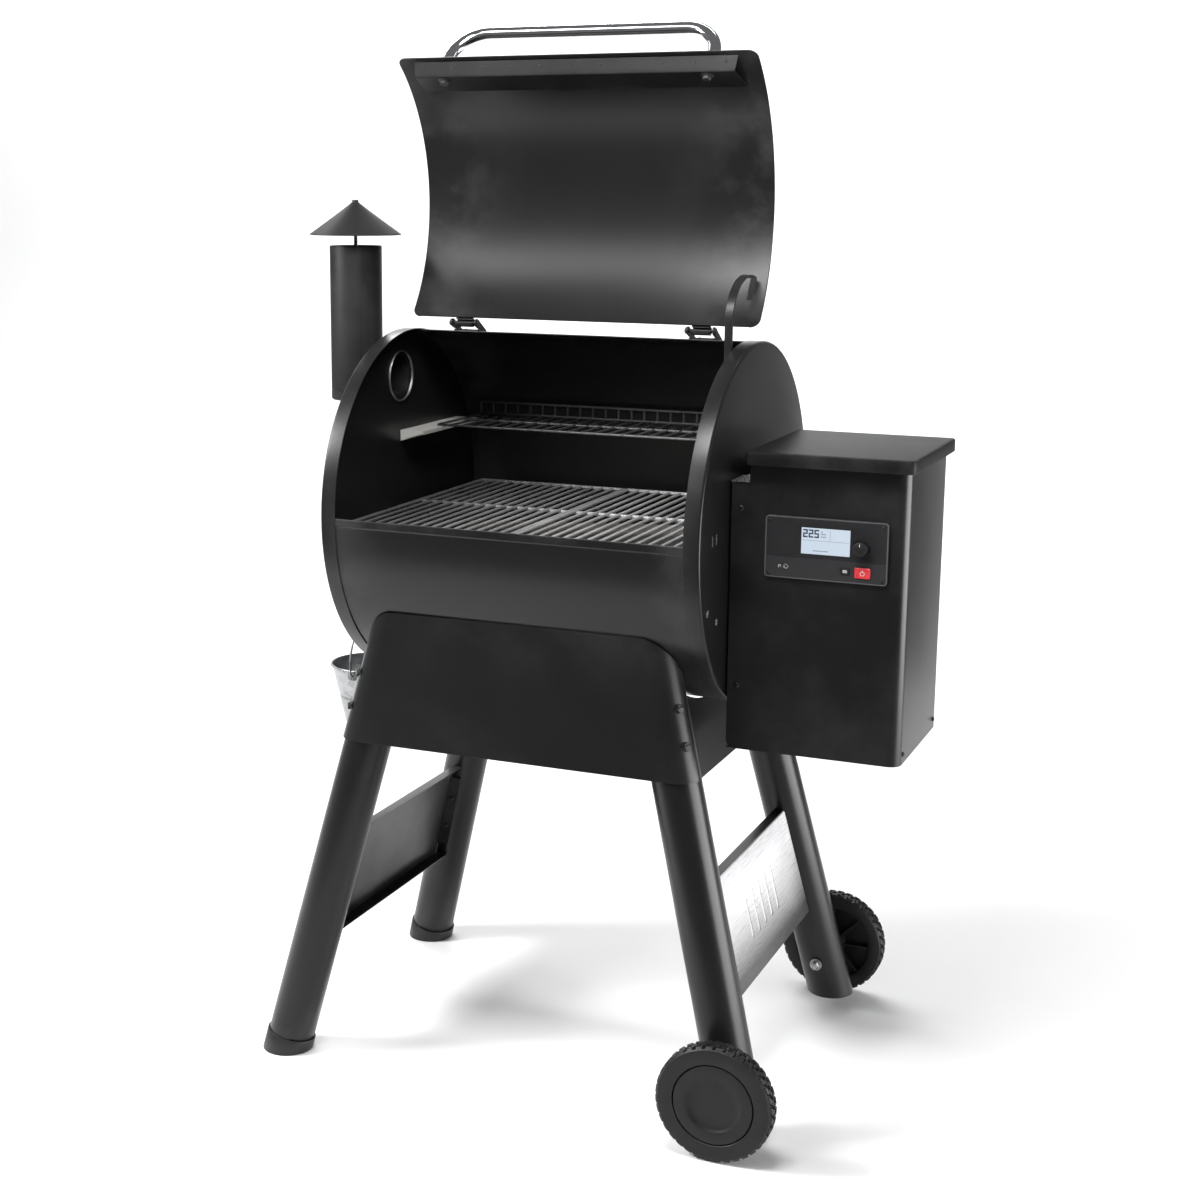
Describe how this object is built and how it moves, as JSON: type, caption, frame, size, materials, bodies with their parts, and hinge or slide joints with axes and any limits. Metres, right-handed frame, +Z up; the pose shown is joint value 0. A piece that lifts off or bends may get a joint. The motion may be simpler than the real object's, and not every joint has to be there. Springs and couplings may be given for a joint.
{
  "type": "pellet smoker grill",
  "caption": "Barrel-shaped wood pellet smoker grill with a hinged lid, chimney, pellet hopper with controller, splayed tube legs, wheels and a grease bucket.",
  "frame": {"origin": "middle of the footprint box, on the floor", "axes": "+Z up; -Y is the front, where the lid opens; +X is the hopper end, along the barrel axis"},
  "size_m": [1.0262, 0.691, 1.6154],
  "materials": {
    "black_powder_coat": "satin black powder coat",
    "black_enamel": "glossy black porcelain enamel",
    "polished_stainless": "polished",
    "galvanized_steel": "bright galvanized",
    "satin_black_panel": "satin metallic black",
    "black_plastic": "fine matt texture",
    "wheel_plastic": "moulded matt",
    "red_plastic": "glossy red",
    "backlit_screen": "backlit liquid crystal",
    "raw_steel": "bare mill finish, heat darkened"
  },
  "bodies": {
    "grill": {"barrel_shell": "black_powder_coat", "end_cap_left": "black_powder_coat", "end_cap_right": "black_powder_coat", "grate_ledge_front": "black_powder_coat", "grate_ledge_rear": "black_powder_coat", "hinge_base_left": "black_powder_coat", "hinge_base_right": "black_powder_coat", "chimney_tube": "black_powder_coat", "chimney_elbow": "black_powder_coat", "leg_front_left": "black_powder_coat", "leg_front_right": "black_powder_coat", "leg_rear_left": "black_powder_coat", "leg_rear_right": "black_powder_coat", "apron_front": "black_powder_coat", "apron_rear": "black_powder_coat", "side_panel_left": "black_powder_coat", "side_panel_right": "black_powder_coat", "brace_left": "black_powder_coat", "hopper_housing": "black_powder_coat", "brace_right": "satin_black_panel", "drain_spout": "galvanized_steel", "chimney_stud": "galvanized_steel", "axle_front": "galvanized_steel", "axle_rear": "galvanized_steel", "rack_bracket_left": "galvanized_steel", "rack_bracket_right": "galvanized_steel", "heat_baffle": "raw_steel", "fire_pot": "raw_steel", "igniter_rod": "raw_steel", "auger_tube": "raw_steel", "auger_motor": "raw_steel", "pellet_bin": "raw_steel", "foot_cap_front_left": "black_plastic", "foot_cap_rear_left": "black_plastic", "blower_housing": "black_plastic", "controller_bezel": "black_plastic", "display": "backlit_screen"},
    "lid": {"lid_shell": "black_powder_coat", "lid_stiffener": "black_powder_coat", "lid_handle": "polished_stainless", "lid_stop_arm": "black_powder_coat", "hinge_leaf_left": "black_powder_coat", "hinge_leaf_right": "black_powder_coat"},
    "hopper_lid": {"hopper_lid": "black_powder_coat"},
    "wheel_front": {"wheel_front": "wheel_plastic", "hub_cap_front": "wheel_plastic"},
    "wheel_rear": {"wheel_rear": "wheel_plastic", "hub_cap_rear": "wheel_plastic"},
    "control_knob": {"control_knob": "black_plastic"},
    "menu_button": {"menu_button": "black_plastic"},
    "ignite_button": {"ignite_button": "red_plastic"},
    "bucket_bail": {"bucket_bail": "galvanized_steel"},
    "bucket": {"bucket": "galvanized_steel"},
    "chimney_cap": {"chimney_cap": "black_powder_coat"},
    "main_grate_left": {"main_grate_left": "black_enamel"},
    "main_grate_right": {"main_grate_right": "black_enamel"},
    "upper_rack": {"upper_rack": "black_enamel"},
    "drip_tray": {"drip_tray": "raw_steel"},
    "auger": {"auger": "raw_steel"},
    "blower_rotor": {"blower_rotor": "black_plastic"}
  },
  "joints": [
    {"name": "lid_hinge", "type": "hinge", "parent": "grill", "child": "lid", "pos_m": [-0.0606, 0.0218, 1.1578], "axis": [1, 0, 0], "range_deg": [0, 126.4]},
    {"name": "hopper_lid_hinge", "type": "hinge", "parent": "grill", "child": "hopper_lid", "pos_m": [0.3894, 0.121, 0.9846], "axis": [-1, 0, 0], "range_deg": [0, 95]},
    {"name": "wheel_front_spin", "type": "hinge", "parent": "grill", "child": "wheel_front", "pos_m": [0.3024, -0.33, 0.088], "axis": [0, 1, 0], "continuous": true},
    {"name": "wheel_rear_spin", "type": "hinge", "parent": "grill", "child": "wheel_rear", "pos_m": [0.3024, 0.33, 0.088], "axis": [0, 1, 0], "continuous": true},
    {"name": "control_knob_turn", "type": "hinge", "parent": "grill", "child": "control_knob", "pos_m": [0.4386, -0.1457, 0.874], "axis": [0, 1, 0], "continuous": true},
    {"name": "menu_button_press", "type": "slide", "parent": "grill", "child": "menu_button", "axis": [0, 1, 0], "range_m": [0, 0.0012], "stiffness_N_per_m": 600},
    {"name": "ignite_button_press", "type": "slide", "parent": "grill", "child": "ignite_button", "axis": [0, 1, 0], "range_m": [0, 0.0012], "stiffness_N_per_m": 800},
    {"name": "bail_lift", "type": "slide", "parent": "grill", "child": "bucket_bail", "axis": [0, 0, 1], "range_m": [0, 0.006]},
    {"name": "bucket_swing", "type": "hinge", "parent": "bucket_bail", "child": "bucket", "pos_m": [-0.4226, 0, 0.5775], "axis": [0, 1, 0], "range_deg": [-4, 25]},
    {"name": "chimney_cap_height", "type": "slide", "parent": "grill", "child": "chimney_cap", "axis": [0, 0, 1], "range_m": [-0.012, 0]},
    {"name": "main_grate_left_lift", "type": "slide", "parent": "grill", "child": "main_grate_left", "axis": [0, 0, 1], "range_m": [0, 0.06]},
    {"name": "main_grate_right_lift", "type": "slide", "parent": "grill", "child": "main_grate_right", "axis": [0, 0, 1], "range_m": [0, 0.06]},
    {"name": "upper_rack_slide", "type": "slide", "parent": "grill", "child": "upper_rack", "axis": [0, -1, 0], "range_m": [0, 0.1]},
    {"name": "drip_tray_lift", "type": "slide", "parent": "grill", "child": "drip_tray", "axis": [0, 0, 1], "range_m": [0, 0.03]},
    {"name": "auger_turn", "type": "hinge", "parent": "grill", "child": "auger", "pos_m": [0.1894, 0, 0.655], "axis": [1, 0, 0], "continuous": true},
    {"name": "blower_turn", "type": "hinge", "parent": "grill", "child": "blower_rotor", "pos_m": [0.2844, 0.058, 0.602], "axis": [1, 0, 0], "continuous": true}
  ]
}
